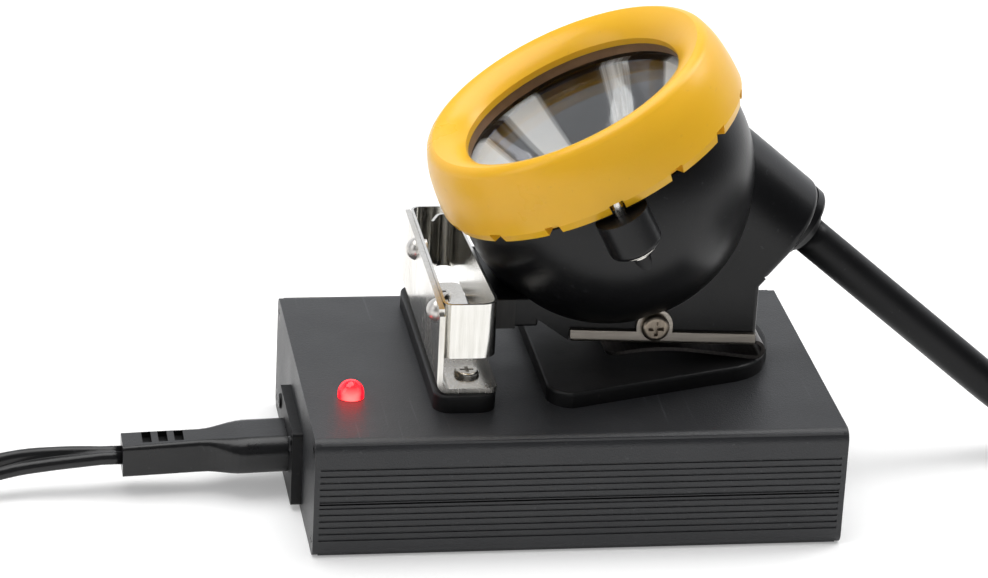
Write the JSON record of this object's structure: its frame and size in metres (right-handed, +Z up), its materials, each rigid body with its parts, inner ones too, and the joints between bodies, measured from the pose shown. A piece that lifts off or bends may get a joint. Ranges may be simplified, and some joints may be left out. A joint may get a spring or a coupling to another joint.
{
  "type": "miner's cap lamp",
  "caption": "Cap lamp headpiece with a screwed bezel and a cap hook, leaning on a small charging dock with a sprung contact, with lamp cable and mains lead.",
  "frame": {"origin": "middle of the dock's base, on the surface that it stands on", "axes": "+X along the dock towards the lamp cable, +Y away from the viewer, +Z up"},
  "size_m": [0.4634, 0.1058, 0.104],
  "materials": {
    "black_anodised": "black anodised, satin",
    "black_steel": "black oxide",
    "black_plastic": "fine matt",
    "lamp_body": "satin",
    "yellow_plastic": "satin gloss",
    "clear_lens": "polished",
    "gasket_rubber": "matt",
    "reflector_metal": "mirror",
    "led_yellow": "clear dome",
    "board": "solder mask",
    "bare_aluminium": "machined",
    "transformer_steel": "laminated",
    "copper": "enamelled copper wire",
    "capacitor_sleeve": "shrink sleeve",
    "bright_steel": "nickel plated",
    "contact_brass": "bright",
    "switch_case": "matt",
    "cable_sheath": "satin",
    "lead_sheath": "satin",
    "tie_strap": "woven strap",
    "red_led": "lit"
  },
  "bodies": {
    "dock": {"case_lower": "black_anodised", "case_upper": "black_anodised", "end_plate_left": "black_anodised", "end_plate_right": "black_anodised", "end_plate_screws": "black_steel", "mains_inlet": "black_plastic", "inlet_pins": "contact_brass", "inlet_screws": "black_steel", "charger_board": "board", "transformer_core": "transformer_steel", "transformer_winding": "copper", "capacitors": "capacitor_sleeve", "indicator_led": "red_led", "contact_pad": "black_plastic", "contact_bracket": "bright_steel", "bracket_screws": "bright_steel", "spring_band": "bright_steel", "bracket_rivets": "bright_steel", "rest_plate": "black_plastic", "rest_plate_screws": "bright_steel", "lamp_cable": "cable_sheath", "lamp_cable_coil": "cable_sheath", "lamp_cable_tail": "cable_sheath", "lamp_cable_tie": "tie_strap", "battery_plug": "black_plastic", "battery_plug_pins": "contact_brass", "mains_connector": "lead_sheath", "mains_lead": "lead_sheath", "mains_lead_coil": "lead_sheath", "mains_lead_tail": "lead_sheath", "mains_lead_tie": "tie_strap", "mains_plug": "black_plastic", "mains_plug_blades": "contact_brass"},
    "headpiece": {"bezel": "yellow_plastic", "lens": "clear_lens", "lens_gasket": "gasket_rubber", "reflector": "reflector_metal", "main_led": "led_yellow", "led_board": "board", "heat_sink": "bare_aluminium", "driver_board": "board", "headpiece_body": "lamp_body", "charging_contact": "bright_steel", "lock_screw_nut": "bright_steel", "switch_unit": "switch_case", "shaft_seal": "gasket_rubber", "hook_plate": "bright_steel", "hook_screws": "bright_steel", "cable_gland": "lamp_body", "cable_inner_end": "cable_sheath"},
    "switch": {"switch_knob": "lamp_body", "switch_shaft": "bright_steel"},
    "lock_screw": {"bezel_lock_screw": "bright_steel"},
    "hook_leaf": {"hook_spring": "bright_steel"},
    "coupling_nut": {"battery_plug_nut": "black_plastic"}
  },
  "joints": [
    {"name": "headpiece_lift", "type": "slide", "parent": "dock", "child": "headpiece", "axis": [0, 0, 1], "range_m": [0, 0.045]},
    {"name": "switch_turn", "type": "hinge", "parent": "headpiece", "child": "switch", "pos_m": [0.01104, 0.0456, 0.0668], "axis": [0, 1, 0], "range_deg": [0, 90]},
    {"name": "lock_screw_travel", "type": "slide", "parent": "headpiece", "child": "lock_screw", "axis": [-0.4548, 0, 0.8906], "range_m": [-0.003, 0]},
    {"name": "hook_leaf_flex", "type": "hinge", "parent": "headpiece", "child": "hook_leaf", "pos_m": [0.0427, 0.006, 0.033], "axis": [0, 1, 0], "range_deg": [-1.5, 1.2], "stiffness_Nm_per_rad": 3},
    {"name": "coupling_nut_turn", "type": "hinge", "parent": "dock", "child": "coupling_nut", "pos_m": [0.1745, 0.057, 0.0278], "axis": [-1, 0, 0], "continuous": true}
  ]
}
